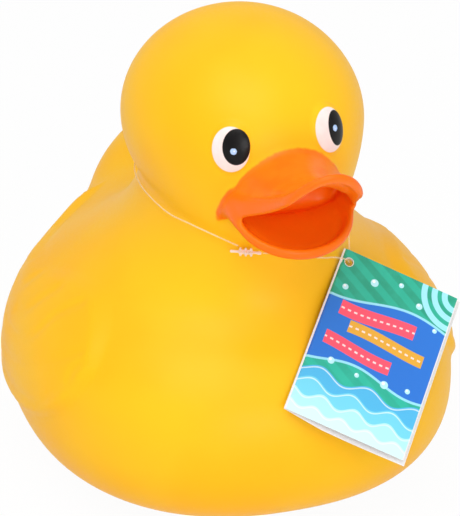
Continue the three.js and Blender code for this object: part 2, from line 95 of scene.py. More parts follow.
# The bill's root is the head's foremost point, and its lips start further back, inside the head.
BILL_ROOT_Y = -84
BILL_BACK_Y = -67
LIP_THICKNESS = 3
LIP_BLEND = 2.5
LIPS_MEET = 4
RIM_BEAD = dict(inset=1.7, width=1.3, height=0.4)
RIM_CHANNEL = dict(inset=4.6, width=1.2, height=-0.5)
UPPER_LIP = dict(
    half_width=29, sides=38, nose_half_width=15.9, nose=13.8, side_bend=0.41,
    root_taper=0.012, taper_from=14, low=165.3, low_place=19,
    rise_front=0.0135, rise_back=0.0065, rise_fall=0.00008,
    arch_root=0.041, arch_front=0.0275, arch_even=25, arch_fade=45, shift=1.5,
)
LOWER_LIP = dict(
    half_width=24.3, sides=6, nose=22, rim=149, droop=0.4, corner=8, corner_drop=0.012,
    cup=6, power=2.6,
)
MOUTH = dict(z=149, wide=21, front=20, back=4, high=11.5)

EYE = dict(half_width=7.6, half_height=9.1, thick=4.2, proud=1.7)
EYE_PLACES = {"right": (-21.8, 4.6), "left": (18.9, 8.6)}
EYE_GROOVE = dict(depth=0.5, width=0.9, outside=0.5)
EYE_REACH = 8

BILL_PAINT_EDGE = 0.8
MOUTH_PAINT_EDGE = 0.6
PUPILS = {
    "right": dict(x=2.35, z=1.25, wide=5.45, high=7.25),
    "left": dict(x=3.2, z=0, wide=5.0, high=7.2),
}
GLINTS = {
    "right": dict(x=1.5, z=-0.4, radius=1.35),
    "left": dict(x=1.8, z=0.2, radius=1.35),
}

POCKET_DIAMETER = 30.6
POCKET_DEPTH = 2.7
BARREL_HOLE = 22.6
SEAT_HEIGHT = 7
BEHIND_SEAT = dict(diameter=28, top=19)

# Tag and fastener

CARD = dict(width=53.3, height=76.5, thickness=0.4, fold_radius=0.25, open_angle=0.03)
CARD_CENTRE = (33.21, -97.25, 82.06)
CARD_TURNS = dict(lean=-44.1, roll=34.3, turn=1.9)
CARD_HOLE = dict(radius=1.8, from_fold=4.55, from_top=5.25)
BACK_LEAF = dict(wider=1.5, lower=1.3, bow=1.4)
LOCK = dict(
    length=12.8, tail=0.6, star=1.9, star_length=5.4, ribs=3,
    centre=(-15.3, -77.9, 125), turn=-26.7,
)
LOOP_DIAMETER = 0.7
LOOP_ROUTE = [
    (-18.1, -76.6, 127.5), (-25.6, -72.4, 130.9), (-31.6, -67.4, 133.2), (-35.7, -60.6, 134),
    (-38.8, -53.2, 134), (-41, -45.7, 134.5), (-43.2, -37.7, 136), (-44.4, -29.8, 137),
    (-44.7, -22, 138), (-43.3, -10.4, 139), (-39.2, 0.7, 139.5), (-32.3, 10.4, 139.8),
    (-23.1, 18.2, 140), (-12.1, 23.2, 140), (0, 25, 140), (12.1, 23.2, 140),
    (23.1, 18.2, 140), (32.3, 10.4, 139.8), (39.2, 0.7, 139.5), (43.3, -10.4, 139),
    (44.7, -22, 138), (44.4, -29.8, 137), (43.2, -37.7, 136), (41.2, -45.8, 134.5),
    (38.8, -53.2, 132.4), (36.6, -58.8, 128), (35.1, -61.8, 121.5), (34.7, -64, 114.5),
    (34, -65.7, 110.7), (33.2, -67.4, 109.2), (32.63, -69.3, 110.3), (31.2, -70.6, 112.3),
    (25.4, -71.5, 114.5), (19.5, -75.1, 116.6), (11, -78.8, 119.9), (2.5, -80.9, 122.7),
    (-4.4, -81.7, 124.5), (-9.25, -80.95, 125),
]


# Camera and world

def make_camera():
    azimuth = math.radians(CAMERA_AZIMUTH)
    elevation = math.radians(CAMERA_ELEVATION)
    back = Vector((
        math.sin(azimuth) * math.cos(elevation),
        -math.cos(azimuth) * math.cos(elevation),
        math.sin(elevation),
    ))
    data = bpy.data.cameras.new("camera")
    data.sensor_width = SENSOR
    data.lens = SENSOR * FOCAL_PIXELS / IMAGE_HEIGHT
    data.clip_start = 0.05
    data.clip_end = 10
    camera = bpy.data.objects.new("camera", data)
    bpy.context.scene.collection.objects.link(camera)
    camera.location = (Vector(CAMERA_TARGET) + back * CAMERA_DISTANCE) * MM
    camera.rotation_euler = (-back).to_track_quat("-Z", "Y").to_euler()
    bpy.context.scene.camera = camera


# Curves through points

def smooth_route(points, pieces):
    """Centripetal Catmull-Rom curve through the points, with that many pieces between two."""
    points = [Vector(p) for p in points]
    before = points[0] * 2 - points[1]
    after = points[-1] * 2 - points[-2]
    chain = [before, *points, after]
    route = []
    for p0, p1, p2, p3 in zip(chain, chain[1:], chain[2:], chain[3:]):
        t1 = math.sqrt((p1 - p0).length)
        t2 = t1 + math.sqrt((p2 - p1).length)
        t3 = t2 + math.sqrt((p3 - p2).length)
        for i in range(pieces):
            t = t1 + (t2 - t1) * i / pieces
            a1 = p0.lerp(p1, t / t1)
            a2 = p1.lerp(p2, (t - t1) / (t2 - t1))
            a3 = p2.lerp(p3, (t - t2) / (t3 - t2))
            b1 = a1.lerp(a2, t / t2)
            b2 = a2.lerp(a3, (t - t1) / (t3 - t1))
            route.append(b1.lerp(b2, (t - t1) / (t2 - t1)))
    return [*route, points[-1]]


def make_loop():
    route = smooth_route(LOOP_ROUTE, 6)
    data = bpy.data.curves.new("tag_filament", "CURVE")
    data.dimensions = "3D"
    data.bevel_depth = LOOP_DIAMETER / 2 * MM
    data.bevel_resolution = 3
    data.use_fill_caps = True
    spline = data.splines.new("POLY")
    spline.points.add(len(route) - 1)
    for point, place in zip(spline.points, route):
        point.co = (*(place * MM), 1)
    loop = bpy.data.objects.new("tag_filament", data)
    bpy.context.scene.collection.objects.link(loop)
    length = sum((b - a).length for a, b in zip(route, route[1:])) * MM
    return loop, length


# Fields: negative inside, positive outside, about a distance in millimetres in between

def blend(a, b, width):
    overlap = np.maximum(width - np.abs(a - b), 0) / width
    return np.minimum(a, b) - overlap * overlap * width / 4


def carve(a, b, width):
    return -blend(-a, -b, width)


def smooth_step(low, high, value):
    t = np.clip((value - low) / (high - low), 0, 1)
    return t * t * (3 - 2 * t)


def egg_field(egg, x, y, z):
    reach_y = np.where(y < egg["y"], egg["front"], egg["back"])
    reach_z = np.where(z > egg["z"], egg["up"], egg["down"])
    px = np.abs(x) / egg["wide"]
    py = np.abs(y - egg["y"]) / reach_y
    pz = np.abs(z - egg["z"]) / reach_z
    n = egg["power"]
    size = (px**n + py**n + pz**n + 1e-12) ** (1 / n)
    slope = (px ** (n - 1) / egg["wide"]) ** 2
    slope = np.sqrt(slope + (py ** (n - 1) / reach_y) ** 2 + (pz ** (n - 1) / reach_z) ** 2)
    return (size - 1) / (size ** (1 - n) * slope + 1e-9)


def cone_field(cone, x, y, z):
    root_y, root_z = cone["root"]
    end_y, end_z = cone["end"]
    length = math.hypot(end_y - root_y, end_z - root_z)
    cos, sin = (end_y - root_y) / length, (end_z - root_z) / length
    along = (y - root_y) * cos + (z - root_z) * sin
    across = ((z - root_z) * cos - (y - root_y) * sin) / cone["flat"]
    radial = np.hypot(x, across)
    taper = (cone["root_radius"] - cone["end_radius"]) / length
    foot = np.clip(along - radial * taper / math.sqrt(1 - taper * taper), 0, length)
    radius = cone["root_radius"] - taper * foot
    return (np.hypot(radial, along - foot) - radius) * (0.5 + 0.5 * cone["flat"])


def closed_spline(points, pieces):
    """Uniform Catmull-Rom through a closed ring of points in the plane."""
    ring = np.array(points, float)
    corners = []
    for i in range(len(ring)):
        p0, p1, p2, p3 = (ring[(i + k - 1) % len(ring)] for k in range(4))
        for t in np.arange(pieces) / pieces:
            corners.append(0.5 * (
                2 * p1 + (p2 - p0) * t + (2 * p0 - 5 * p1 + 4 * p2 - p3) * t**2
                + (3 * p1 - p0 - 3 * p2 + p3) * t**3
            ))
    return np.array(corners)


WING_CORNERS = closed_spline(WING_OUTLINE, 4)


def wing_distance(y, z):
    """Signed distance to the wing's outline in side view, negative inside."""
    nearest = np.full(np.broadcast(y, z).shape, 1e9, np.float32)
    inside = np.zeros(nearest.shape, bool)
    for (ay, az), (by, bz) in zip(WING_CORNERS, np.roll(WING_CORNERS, -1, axis=0)):
        ey, ez = by - ay, bz - az
        t = np.clip(((y - ay) * ey + (z - az) * ez) / (ey * ey + ez * ez + 1e-9), 0, 1)
        nearest = np.minimum(nearest, np.hypot(y - ay - ey * t, z - az - ez * t))
        spans = (az > z) != (bz > z)
        inside ^= spans & (y < ay + ey * (z - az) / (ez + 1e-12))
    return np.where(inside, -nearest, nearest)


def feather_distance(y, z):
    """Distance in side view to the nearest feather edge."""
    nearest = np.full(np.broadcast(y, z).shape, 1e9, np.float32)
    for line in FEATHER_LINES:
        route = [Vector((a, b, 0)) for a, b in line]
        corners = smooth_route(route, 4)
        for a, b in zip(corners, corners[1:]):
            ey, ez = b.x - a.x, b.y - a.y
            t = np.clip(((y - a.x) * ey + (z - a.y) * ez) / (ey * ey + ez * ez), 0, 1)
            nearest = np.minimum(nearest, np.hypot(y - a.x - ey * t, z - a.y - ez * t))
    return nearest


def wing_height(x, y, z):
    """Height of the raised wing over the plain body, with a groove along each feather edge."""
    edge = wing_distance(y, z)
    side = smooth_step(WING_INSIDE, WING_INSIDE + 8, np.abs(x))
    grooves = FEATHER_DEPTH * np.exp(-((feather_distance(y, z) / FEATHER_WIDTH) ** 2))
    grooves = grooves * smooth_step(1, 5, -edge)
    return side * (WING_RISE * smooth_step(0, WING_EDGE, -edge) - grooves)


def pocket_field(x, y, z):
    """The stepped round hole in the base that the squeaker is pressed into."""
    radius = np.hypot(x, y)
    flange = np.maximum(radius - POCKET_DIAMETER / 2, z - POCKET_DEPTH)
    barrel = np.maximum(radius - BARREL_HOLE / 2, z - BEHIND_SEAT["top"])
    behind = np.maximum(radius - BEHIND_SEAT["diameter"] / 2, z - BEHIND_SEAT["top"])
    behind = np.maximum(behind, SEAT_HEIGHT - z)
    return np.minimum(np.minimum(flange, barrel), behind)


def head_and_body(x, y, z):
    value = blend(egg_field(BODY, x, y, z), egg_field(BACK, x, y, z), BACK_BLEND)
    value = blend(value, cone_field(TAIL, x, y, z), TAIL_BLEND)
    value = blend(value, cone_field(TAIL_TIP, x, y, z), TIP_BLEND)
    value = blend(value, cone_field(NECK, x, y, z), NECK_BLEND)
    value = carve(value, -z - BASE_CUT, BASE_BLEND)
    value = blend(value, egg_field(HEAD, x, y, z), HEAD_BLEND)
    return blend(value, cone_field(THROAT, x, y, z), THROAT_BLEND)


def skin_field(x, y, z):
    """The moulding without its face: body, tail, neck, head, wings and the hole in the base."""
    value = head_and_body(x, y, z)
    value = np.maximum(value - wing_height(x, y, z), -z)
    return np.maximum(value, -pocket_field(x, y, z))


# Bill

def upper_half_width(forward):
    share = np.clip(forward / UPPER_LIP["sides"], 0, 1)
    narrowing = UPPER_LIP["half_width"] - UPPER_LIP["nose_half_width"]
    bend = UPPER_LIP["side_bend"]
    front = UPPER_LIP["half_width"] - narrowing * ((1 + bend) * share - bend * share * share)
    from_even = np.clip(UPPER_LIP["taper_from"] - forward, 0, UPPER_LIP["taper_from"])
    return front - UPPER_LIP["root_taper"] * from_even**2


def plan_distance(half_width, sides, nose, x, forward):
    """Signed distance to a lip's plan outline: straight sides with a half oval nose."""
    reach = np.hypot(x / half_width(sides), (forward - sides) / nose)
    front = (reach - 1) * min(nose, float(half_width(sides)))
    return np.where(forward < sides, np.abs(x) - half_width(forward), front)


def lip_field(height_off, edge):
    """A sheet of even thickness with a rounded edge, from the height off its middle surface."""
    half = LIP_THICKNESS / 2
    for band in (RIM_BEAD, RIM_CHANNEL):
        half = half + band["height"] * np.exp(-(((edge + band["inset"]) / band["width"]) ** 2))
    round_edge = LIP_THICKNESS / 2
    return np.hypot(height_off, np.maximum(edge + round_edge, 0)) - half


def upper_lip_place(x, y, z):
    """Height above the lip's middle surface, and distance to its plan outline."""
    lip = UPPER_LIP
    forward = BILL_ROOT_Y - y
    from_low = np.maximum(forward, 0) - lip["low_place"]
    rise = np.where(from_low > 0, lip["rise_front"], lip["rise_back"])
    ridge = lip["low"] + rise * from_low**2 - lip["rise_fall"] * from_low**3
    back = np.clip((lip["arch_even"] - forward) / lip["arch_fade"], 0, 1)
    arch = lip["arch_front"] + (lip["arch_root"] - lip["arch_front"]) * back**2
    side = x - lip["shift"] * np.clip(1 - forward / lip["sides"], 0, 1)
    off = (z - ridge + arch * side**2) / np.sqrt(1 + (2 * arch * side) ** 2)
    return off, plan_distance(upper_half_width, lip["sides"], lip["nose"], side, forward)


def lower_half_width(forward):
    return np.full(np.shape(forward), float(LOWER_LIP["half_width"]))


def lower_lip_place(x, y, z):
    """Height above the lip's middle surface, and distance to its plan outline."""
    lip = LOWER_LIP
    forward = BILL_ROOT_Y - y
    rim = lip["rim"] - lip["droop"] * np.maximum(forward, 0)
    rim = rim - lip["corner_drop"] * np.maximum(lip["corner"] - forward, 0) ** 2
    reach = np.hypot(x / lip["half_width"], np.maximum(forward - lip["sides"], 0) / lip["nose"])
    inner = np.minimum(reach, 1)
    middle = rim - lip["cup"] * (1 - inner ** lip["power"]) - LIP_THICKNESS / 2
    steep = lip["power"] * lip["cup"] * inner ** (lip["power"] - 1) / lip["half_width"]
    edge = plan_distance(lower_half_width, lip["sides"], lip["nose"], x, forward)
    return (z - middle) / np.sqrt(1 + steep**2), edge


def head_front(x, z):
    """Where the head's own egg lies, at a place measured from its middle."""
    reach_z = HEAD["up"] if z > 0 else HEAD["down"]
    return HEAD["y"] - HEAD["front"] * math.sqrt(1 - (x / HEAD["wide"]) ** 2 - (z / reach_z) ** 2)


def mouth_field(x, y, z):
    face = head_front(0, MOUTH["z"] - HEAD["z"])
    half_deep = (MOUTH["front"] + MOUTH["back"]) / 2
    egg = dict(
        y=face + (MOUTH["back"] - MOUTH["front"]) / 2, z=MOUTH["z"], wide=MOUTH["wide"],
        front=half_deep, back=half_deep, up=MOUTH["high"], down=MOUTH["high"], power=2,
    )
    return egg_field(egg, x, y, z)


# Eyes

def eye_frame(x, z):
    """The eye's place on the head, and its own axes: across, up and outward."""
    place = np.array([x, head_front(x, z), HEAD["z"] + z])
    reach_z = HEAD["up"] if z > 0 else HEAD["down"]
    outward = np.array([
        x / HEAD["wide"] ** 2, (place[1] - HEAD["y"]) / HEAD["front"] ** 2, z / reach_z**2,
    ])
    outward /= np.linalg.norm(outward)
    across = np.cross([0, 0, 1], outward)
    across /= np.linalg.norm(across)
    return place, np.array([across, np.cross(outward, across), outward])


EYE_FRAMES = {side: eye_frame(*place) for side, place in EYE_PLACES.items()}


def eye_coordinates(side, x, y, z):
    place, axes = EYE_FRAMES[side]
    return [
        (x - place[0]) * a[0] + (y - place[1]) * a[1] + (z - place[2]) * a[2] for a in axes
    ]


def eye_oval(across, up):
    """Signed distance, in the plane of the eye, to its oval edge."""
    reach = np.hypot(across / EYE["half_width"], up / EYE["half_height"])
    return (reach - 1) * (EYE["half_width"] + EYE["half_height"]) / 2


def eye_field(side, x, y, z):
    across, up, outward = eye_coordinates(side, x, y, z)
    sunk = EYE["thick"] - EYE["proud"]
    shown = math.sqrt(1 - (sunk / EYE["thick"]) ** 2)
    radii = EYE["half_width"] / shown, EYE["half_height"] / shown, EYE["thick"]
    scaled = [across / radii[0], up / radii[1], (outward + sunk) / radii[2]]
    size = np.sqrt(sum(s * s for s in scaled))
    slope = np.sqrt(sum((s / r) ** 2 for s, r in zip(scaled, radii))) + 1e-9
    return size * (size - 1) / slope


def lips_field(x, y, z):
    upper = lip_field(*upper_lip_place(x, y, z))
    lower = lip_field(*lower_lip_place(x, y, z))
    return carve(blend(upper, lower, LIPS_MEET), y - BILL_BACK_Y, 2)


def face_field(x, y, z):
    """The skin with the mouth, both lips and both eyes."""
    value = skin_field(x, y, z)
    value = carve(value, -mouth_field(x, y, z), 3)
    value = blend(value, lips_field(x, y, z), LIP_BLEND)
    for side in EYE_FRAMES:
        across, up, outward = eye_coordinates(side, x, y, z)
        from_groove = (eye_oval(across, up) - EYE_GROOVE["outside"]) / EYE_GROOVE["width"]
        groove = EYE_GROOVE["depth"] * np.exp(-(from_groove**2)) * (np.abs(outward) < EYE_REACH)
        value = blend(value + groove, eye_field(side, x, y, z), 0.5)
    return value


FACE_LOW = (-37, -142, 124)
FACE_HIGH = (37, -58, 190)


def duck_field(x, y, z):
    """The whole moulding at single points."""
    x, y, z = (np.asarray(v, float) for v in (x, y, z))
    value = skin_field(x, y, z)
    near = (np.abs(x) < FACE_HIGH[0]) & (y < FACE_HIGH[1])
    near &= (z > FACE_LOW[2]) & (z < FACE_HIGH[2])
    value[near] = face_field(x[near], y[near], z[near])
    return value


# Meshing of a field

def grid_lines(bands):
    """Lines from the first band's start, with each band's own step."""
    lines = [bands[0][0]]
    for low, high, step in bands:
        count = max(1, round((high - low) / step))
        lines.extend(low + (high - low) * (i + 1) / count for i in range(count))
    return np.array(lines)


def sample_grid(xs, ys, zs):
    values = skin_field(xs[:, None, None], ys[None, :, None], zs[None, None, :])
    values = np.array(np.broadcast_to(values, (len(xs), len(ys), len(zs))))
    picks = [
        np.flatnonzero((line > low) & (line < high))
        for line, low, high in zip((xs, ys, zs), FACE_LOW, FACE_HIGH)
    ]
    near_x, near_y, near_z = xs[picks[0]], ys[picks[1]], zs[picks[2]]
    values[np.ix_(*picks)] = face_field(
        near_x[:, None, None], near_y[None, :, None], near_z[None, None, :],
    )
    return values


def surface_net(values, xs, ys, zs):
    """One vertex in each cell that the surface crosses, and one quad across each cut grid edge."""
    lines = (xs, ys, zs)
    inside = values < 0
    cells = tuple(n - 1 for n in values.shape)
    corners = [(i, j, k) for i in (0, 1) for j in (0, 1) for k in (0, 1)]
    count = np.zeros(cells, np.uint8)
    for i, j, k in corners:
        count += inside[i:i + cells[0], j:j + cells[1], k:k + cells[2]]
    crossed = np.argwhere((count > 0) & (count < 8))
    number = np.full(cells, -1, np.int64)
    number[tuple(crossed.T)] = np.arange(len(crossed))

    total = np.zeros((len(crossed), 3))
    hits = np.zeros(len(crossed))
    for corner in corners:
        for axis in range(3):
            if corner[axis]:
                continue
            other = list(corner)
            other[axis] = 1
            a = crossed + corner
            b = crossed + other
            va, vb = values[tuple(a.T)], values[tuple(b.T)]
            cut = (va < 0) != (vb < 0)
            share = np.where(cut, va / np.where(cut, va - vb, 1), 0)
            point = np.stack([lines[n][a[:, n]] for n in range(3)], 1)
            end = lines[axis][b[:, axis]]
            point[:, axis] += (end - point[:, axis]) * share
            total += point * cut[:, None]
            hits += cut
    points = total / hits[:, None]

    quads = []
    for axis in range(3):
        u, v = (axis + 1) % 3, (axis + 2) % 3
        low = [slice(1, -1)] * 3
        low[axis] = slice(0, -1)
        high = list(low)
        high[axis] = slice(1, None)
        here, there = inside[tuple(low)], inside[tuple(high)]
        edges = np.argwhere(here != there)
        edges += [0 if n == axis else 1 for n in range(3)]
        outward = inside[tuple(edges.T)]
        ring = []
        for du, dv in ((1, 1), (0, 1), (0, 0), (1, 0)):
            cell = edges.copy()
            cell[:, u] -= du
            cell[:, v] -= dv
            ring.append(number[tuple(cell.T)])
        ring = np.stack(ring, 1)
        ring[~outward] = ring[~outward][:, ::-1]
        quads.append(ring)
    return points, np.concatenate(quads)


def settle(field, points, passes=3):
    """Moves points along the field's slope onto its surface."""
    step = 0.2
    furthest = 1.5
    least_slope = 0.2
    for _ in range(passes):
        value = field(*points.T)
        slope = np.stack([
            (field(*(points + offset).T) - field(*(points - offset).T)) / (2 * step)
            for offset in np.eye(3) * step
        ], 1)
        move = slope * (value / np.maximum((slope**2).sum(1), least_slope))[:, None]
        points = points - np.clip(move, -furthest, furthest)
    return points


def mesh_object(name, points, faces):
    """A smooth-shaded mesh object from points in millimetres and faces of one size."""
    data = bpy.data.meshes.new(name)
    data.from_pydata((points * MM).tolist(), [], faces.tolist())
    data.polygons.foreach_set("use_smooth", [True] * len(data.polygons))
    data.update()
    piece = bpy.data.objects.new(name, data)
    bpy.context.scene.collection.objects.link(piece)
    return piece


def point_values(piece, name, values):
    attribute = piece.data.attributes.new(name, "FLOAT", "POINT")
    attribute.data.foreach_set("value", np.asarray(values, np.float32))


# Distances between grid lines: wide on plain skin, close on the wings, closest on the face
BODY_STEP = 2.4
WING_STEP = 1.9
FACE_STEP = 1.05
CREASE_STEP = 1.2
FOOT_STEP = 1.4


def make_duck():
    xs = grid_lines([
        (-106, -60, WING_STEP), (-60, -34, BODY_STEP), (-34, 34, FACE_STEP),
        (34, 60, BODY_STEP), (60, 106, WING_STEP),
    ])
    ys = grid_lines([(-141, -64, FACE_STEP), (-64, 88, WING_STEP), (88, 143, BODY_STEP)])
    zs = grid_lines([
        (-5, 22, FOOT_STEP), (22, 104, WING_STEP), (104, 122, BODY_STEP),
        (122, 134, CREASE_STEP), (134, 186, FACE_STEP), (186, 215, BODY_STEP),
    ])
    points, quads = surface_net(sample_grid(xs, ys, zs), xs, ys, zs)
    points = settle(duck_field, points)
    duck = mesh_object("duck_moulding", points, quads)
    return duck, points


FAR = 9.0


def paint_values(points):
    """Signed distances that say where each paint lies, negative inside it, and where the mouth and the
    lips' rims get painted light.
    """
    x, y, z = points.T
    values = {name: np.full(len(points), FAR) for name in ("white", "pupil", "glint")}
    for side in EYE_FRAMES:
        across, up, outward = eye_coordinates(side, x, y, z)
        near = np.abs(outward) < 7
        pupil, glint = PUPILS[side], GLINTS[side]
        reach = np.hypot((across - pupil["x"]) / pupil["wide"], (up - pupil["z"]) / pupil["high"])
        marks = {
            "white": eye_oval(across, up),
            "pupil": (reach - 1) * pupil["wide"],
            "glint": np.hypot(across - glint["x"], up - glint["z"]) - glint["radius"],
        }
        for name, mark in marks.items():
            values[name] = np.where(near, np.minimum(values[name], mark), values[name])

    upper_off, upper_edge = upper_lip_place(x, y, z)
    lower_off, lower_edge = lower_lip_place(x, y, z)
    in_front = (z > 128) & (np.abs(x) < 40) & (y < -62)
    between = np.maximum(np.maximum(upper_off, -lower_off), upper_edge - 1)
    bill = np.minimum(between, mouth_field(x, y, z) - MOUTH_PAINT_EDGE)
    bill = np.minimum(bill, lips_field(x, y, z) - BILL_PAINT_EDGE)
    values["bill"] = np.where(in_front, bill, FAR)
    # The mouth value marks the inside of the mouth, which gets a flat full-strength orange: painted
    # light, standing for light through the vinyl that brightens the recess.
    inner_face = 0.9
    mouth = np.maximum(upper_off + inner_face, inner_face - lower_off)
    values["mouth"] = np.where(in_front, mouth, FAR)
    # The rim value is the depth inside the nearer lip's outline; near the edge it gets a deeper
    # orange, painted light standing for how light falls on the rounded rims.
    nearest_rim = np.where(np.abs(upper_off) < np.abs(lower_off), upper_edge, lower_edge)
    values["rim"] = np.where(in_front, -nearest_rim, FAR)
    return values


# Flat sheets and turned shapes

def card_matrix():
    turns = [math.radians(CARD_TURNS[name]) for name in ("lean", "roll", "turn")]
    lean, roll, turn = turns
    matrix = Matrix.Rotation(turn, 4, "Z") @ Matrix.Rotation(lean, 4, "X")
    matrix = matrix @ Matrix.Rotation(roll, 4, "Y")
    return Matrix.Translation(CARD_CENTRE) @ matrix


def ring_points(centre, radius, count):
    angles = [2 * math.pi * i / count for i in range(count)]
    return [
        Vector((centre[0] + radius * math.cos(a), centre[1] + radius * math.sin(a))) for a in angles
    ]


def punched_sheet(low, high, holes, radius, step):
    """Triangles over a rectangle with round holes, as plan points and corner numbers."""
    clear_of_hole = 0.8
    columns = grid_lines([(low[0], high[0], step)])
    rows = grid_lines([(low[1], high[1], step)])
    inner = [Vector((a, b)) for a in columns[1:-1] for b in rows[1:-1]]
    inner = [p for p in inner if all((p - Vector(h)).length > radius + clear_of_hole for h in holes)]
    rim = [Vector((a, low[1])) for a in columns[:-1]] + [Vector((high[0], b)) for b in rows[:-1]]
    rim += [Vector((a, high[1])) for a in columns[:0:-1]] + [Vector((low[0], b)) for b in rows[:0:-1]]
    loops = [rim, *(ring_points(hole, radius, 32) for hole in holes)]
    points, edges = [], []
    for ring in loops:
        start = len(points)
        points += ring
        edges += [(start + i, start + (i + 1) % len(ring)) for i in range(len(ring))]
    points, _, faces, *_ = delaunay_2d_cdt(points + inner, edges, [], 0, 1e-5)
    keep = []
    for face in faces:
        middle = sum((points[i] for i in face), Vector((0, 0))) / 3
        if all((middle - Vector(hole)).length > radius * 0.98 for hole in holes):
            keep.append(tuple(face))
    return points, keep


def card_place(u, v, side):
    """Where a point of the unfolded sheet comes to lie on the folded card.

    u runs from the front leaf's free edge at 0, over the fold, to the back leaf's free edge.
    """
    width, radius = CARD["width"], CARD["fold_radius"]
    leaf = width - radius
    turn = math.pi * radius
    half = CARD["thickness"] / 2
    if u < leaf:
        return width / 2 - u, half - side, v
    if u < leaf + turn:
        angle = (u - leaf) / radius
        x = radius - width / 2 - (radius + side) * math.sin(angle)
        return x, half + radius - (radius + side) * math.cos(angle), v
    out = u - leaf - turn
    share = out / leaf
    slope = CARD["open_angle"]
    depth = half + 2 * radius + side + out * math.sin(slope)
    low_share = 0.5 - v / CARD["height"]
    depth += BACK_LEAF["bow"] * math.sin(math.pi * min(share, 1)) * low_share
    x = radius - width / 2 + out * math.cos(slope)
    return x, depth, v - BACK_LEAF["lower"] * low_share * min(3 * share, 1)


def make_card():
    """The folded tag, printed on its outside, with its own plan coordinates on its points."""
    width, height, radius = CARD["width"], CARD["height"], CARD["fold_radius"]
    leaf = width - radius
    length = 2 * leaf + math.pi * radius + BACK_LEAF["wider"]
    hole_height = height / 2 - CARD_HOLE["from_top"]
    holes = [(width - CARD_HOLE["from_fold"], hole_height)]
    holes.append((leaf + math.pi * radius + CARD_HOLE["from_fold"] - radius, hole_height))
    low, high = (0, -height / 2), (length, height / 2)
    plan, faces = punched_sheet(low, high, holes, CARD_HOLE["radius"], 3)

    count = len(plan)
    half = CARD["thickness"] / 2
    places = [card_place(p.x, p.y, side) for side in (half, -half) for p in plan]
    all_faces = list(faces)
    all_faces += [tuple(i + count for i in reversed(face)) for face in faces]
    uses = {}
    for face in faces:
        for a, b in zip(face, face[1:] + face[:1]):
            uses[(a, b)] = uses.get((a, b), 0) + 1
    border = [(a, b) for a, b in uses if (b, a) not in uses]
    all_faces += [(b, a, a + count, b + count) for a, b in border]

    data = bpy.data.meshes.new("tag_card")
    matrix = card_matrix()
    data.from_pydata([(matrix @ Vector(p)) * MM for p in places], [], all_faces)
    data.update()
    card = bpy.data.objects.new("tag_card", data)
    bpy.context.scene.collection.objects.link(card)
    for name, axis in (("card_x", 0), ("card_y", 2)):
        point_values(card, name, [p[axis] for p in places])
    point_values(card, "outside", [1.0] * count + [0.0] * count)
    edges = data.attributes.new("cut_edge", "FLOAT", "FACE")
    edges.data.foreach_set("value", [0.0] * (2 * len(faces)) + [1.0] * len(border))
    if data.polygons[0].normal.dot(matrix.to_3x3() @ Vector((0, -1, 0))) < 0:
        data.flip_normals()
    return card


def make_lock():
    """The fastener's moulded lock: a ribbed star between two thin tails.

    Each station holds its place along the lock, its radius, and how deep its four lobes are cut.
    """
    stations = []
    half, star = LOCK["length"] / 2, LOCK["star_length"] / 2
    tail = LOCK["tail"]
    stations += [(-half, 0.02, 0), (-half + 0.05, 0.4, 0), (-half + 0.3, tail, 0)]
    stations += [(-star - 0.9, tail * 0.82, 0), (-star - 0.25, tail, 0.1)]
    pitch = LOCK["star_length"] / (2 * LOCK["ribs"] - 1)
    for rib in range(LOCK["ribs"]):
        foot = -star + 2 * rib * pitch
        for place, size in ((0, 0.55), (0.2, 1), (0.8, 1), (1, 0.55)):
            stations.append((foot + place * pitch, LOCK["star"] * size, 0.5))
        if rib < LOCK["ribs"] - 1:
            stations.append((foot + 1.5 * pitch, LOCK["star"] * 0.5, 0.2))
    stations += [(star + 0.25, tail, 0.1), (half - 2.2, tail * 0.82, 0)]
    stations += [(half - 1.4, tail * 1.25, 0), (half - 0.4, tail * 1.25, 0)]
    stations += [(half - 0.05, 0.4, 0), (half, 0.02, 0)]

    around = 32
    points, faces = [], []
    for along, radius, lobes in stations:
        for i in range(around):
            angle = 2 * math.pi * i / around
            reach = radius * (1 - lobes * 0.5 * (1 - math.cos(4 * angle)))
            points.append((along, reach * math.cos(angle), reach * math.sin(angle)))
    for ring in range(len(stations) - 1):
        for i in range(around):
            a, b = ring * around + i, ring * around + (i + 1) % around
            faces.append((a, b, b + around, a + around))
    turn = Matrix.Translation(LOCK["centre"]) @ Matrix.Rotation(math.radians(LOCK["turn"]), 4, "Z")
    points = np.array([turn @ Vector(p) for p in points])
    return mesh_object("loop_lock", points, np.array(faces)[:, ::-1])


# Materials

